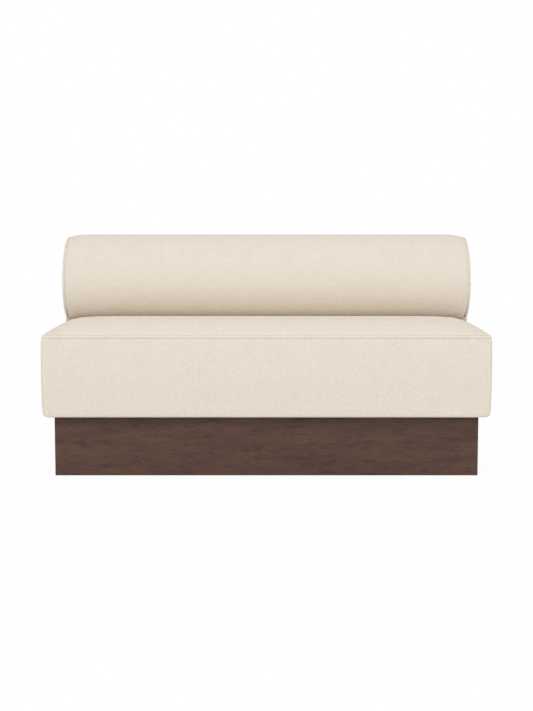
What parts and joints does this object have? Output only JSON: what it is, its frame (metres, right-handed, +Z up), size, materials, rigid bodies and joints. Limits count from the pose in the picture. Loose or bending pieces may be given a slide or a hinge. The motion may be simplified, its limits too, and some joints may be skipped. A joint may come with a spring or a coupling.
{
  "type": "upholstered banquette bench",
  "caption": "Low banquette bench with a boxed, crowned seat, a leaning roll backrest with domed ends, and a recessed dark wood plinth.",
  "frame": {"origin": "on the floor, under the middle of the bench's bounding box", "axes": "+X along the bench to a sitter's left, seen from the front as right; +Y from the front edge to the back; +Z up"},
  "size_m": [1.504, 0.61, 0.8109],
  "materials": {
    "plinth_veneer": "satin",
    "frame_timber": "matte",
    "plywood": "matte",
    "hardboard": "matte",
    "cream_fabric": "matte",
    "fibre_padding": "matte",
    "foam": "matte",
    "webbing_cloth": "matte",
    "dust_cloth": "matte",
    "foot_plastic": "matte",
    "zinc_steel": "satin"
  },
  "bodies": {
    "bench": {"back_cover_front": "cream_fabric", "back_cover_rear": "cream_fabric", "back_front_board": "plywood", "back_lower_rails": "frame_timber", "back_middle_rails": "frame_timber", "back_padding_left": "fibre_padding", "back_padding_right": "fibre_padding", "back_padding_top": "fibre_padding", "back_rear_board": "hardboard", "back_top_rails": "frame_timber", "back_uprights": "frame_timber", "border_padding_front": "fibre_padding", "border_padding_left": "fibre_padding", "border_padding_right": "fibre_padding", "cleat_screws": "zinc_steel", "corner_blocks": "frame_timber", "foot_tee_nuts": "zinc_steel", "plinth_back": "plinth_veneer", "plinth_brace_left": "frame_timber", "plinth_brace_right": "frame_timber", "plinth_front": "plinth_veneer", "plinth_left": "plinth_veneer", "plinth_right": "plinth_veneer", "roll_board": "plywood", "roll_bolts": "zinc_steel", "roll_cap_left": "cream_fabric", "roll_cap_right": "cream_fabric", "roll_cover": "cream_fabric", "roll_fibre_wrap": "fibre_padding", "roll_foam": "foam", "roll_tee_nuts": "zinc_steel", "roll_washers": "zinc_steel", "seat_base_board": "plywood", "seat_bolts": "zinc_steel", "seat_brace_left": "frame_timber", "seat_brace_right": "frame_timber", "seat_cleats": "frame_timber", "seat_cover_border": "cream_fabric", "seat_cover_top": "cream_fabric", "seat_dust_cover": "dust_cloth", "seat_fibre_wrap": "fibre_padding", "seat_foam": "foam", "seat_insulator": "webbing_cloth", "seat_rail_back": "frame_timber", "seat_rail_front": "frame_timber", "seat_rail_left": "frame_timber", "seat_rail_right": "frame_timber", "seat_tee_nuts": "zinc_steel", "seat_washers": "zinc_steel", "seat_webbing": "webbing_cloth"},
    "pad_front_left": {"foot_pad_front_left": "foot_plastic"},
    "stud_front_left": {"foot_stud_front_left": "zinc_steel"},
    "pad_front_right": {"foot_pad_front_right": "foot_plastic"},
    "stud_front_right": {"foot_stud_front_right": "zinc_steel"},
    "pad_rear_left": {"foot_pad_rear_left": "foot_plastic"},
    "stud_rear_left": {"foot_stud_rear_left": "zinc_steel"},
    "pad_rear_right": {"foot_pad_rear_right": "foot_plastic"},
    "stud_rear_right": {"foot_stud_rear_right": "zinc_steel"}
  },
  "joints": [
    {"name": "pad_travel_front_left", "type": "slide", "parent": "bench", "child": "pad_front_left", "axis": [0, 0, -1], "range_m": [0, 0.012]},
    {"name": "stud_turn_front_left", "type": "hinge", "parent": "pad_front_left", "child": "stud_front_left", "pos_m": [-0.6715, -0.2245, 0.02], "axis": [0, 0, -1], "range_deg": [0, 3460]},
    {"name": "pad_travel_front_right", "type": "slide", "parent": "bench", "child": "pad_front_right", "axis": [0, 0, -1], "range_m": [0, 0.012]},
    {"name": "stud_turn_front_right", "type": "hinge", "parent": "pad_front_right", "child": "stud_front_right", "pos_m": [0.6715, -0.2245, 0.02], "axis": [0, 0, -1], "range_deg": [0, 3460]},
    {"name": "pad_travel_rear_left", "type": "slide", "parent": "bench", "child": "pad_rear_left", "axis": [0, 0, -1], "range_m": [0, 0.012]},
    {"name": "stud_turn_rear_left", "type": "hinge", "parent": "pad_rear_left", "child": "stud_rear_left", "pos_m": [-0.6715, 0.2245, 0.02], "axis": [0, 0, -1], "range_deg": [0, 3460]},
    {"name": "pad_travel_rear_right", "type": "slide", "parent": "bench", "child": "pad_rear_right", "axis": [0, 0, -1], "range_m": [0, 0.012]},
    {"name": "stud_turn_rear_right", "type": "hinge", "parent": "pad_rear_right", "child": "stud_rear_right", "pos_m": [0.6715, 0.2245, 0.02], "axis": [0, 0, -1], "range_deg": [0, 3460]}
  ],
  "couplings": [
    {"joint": "stud_turn_front_left", "follows": "pad_travel_front_left", "rad_per_m": 5026.5},
    {"joint": "stud_turn_front_right", "follows": "pad_travel_front_right", "rad_per_m": 5026.5},
    {"joint": "stud_turn_rear_left", "follows": "pad_travel_rear_left", "rad_per_m": 5026.5},
    {"joint": "stud_turn_rear_right", "follows": "pad_travel_rear_right", "rad_per_m": 5026.5}
  ]
}
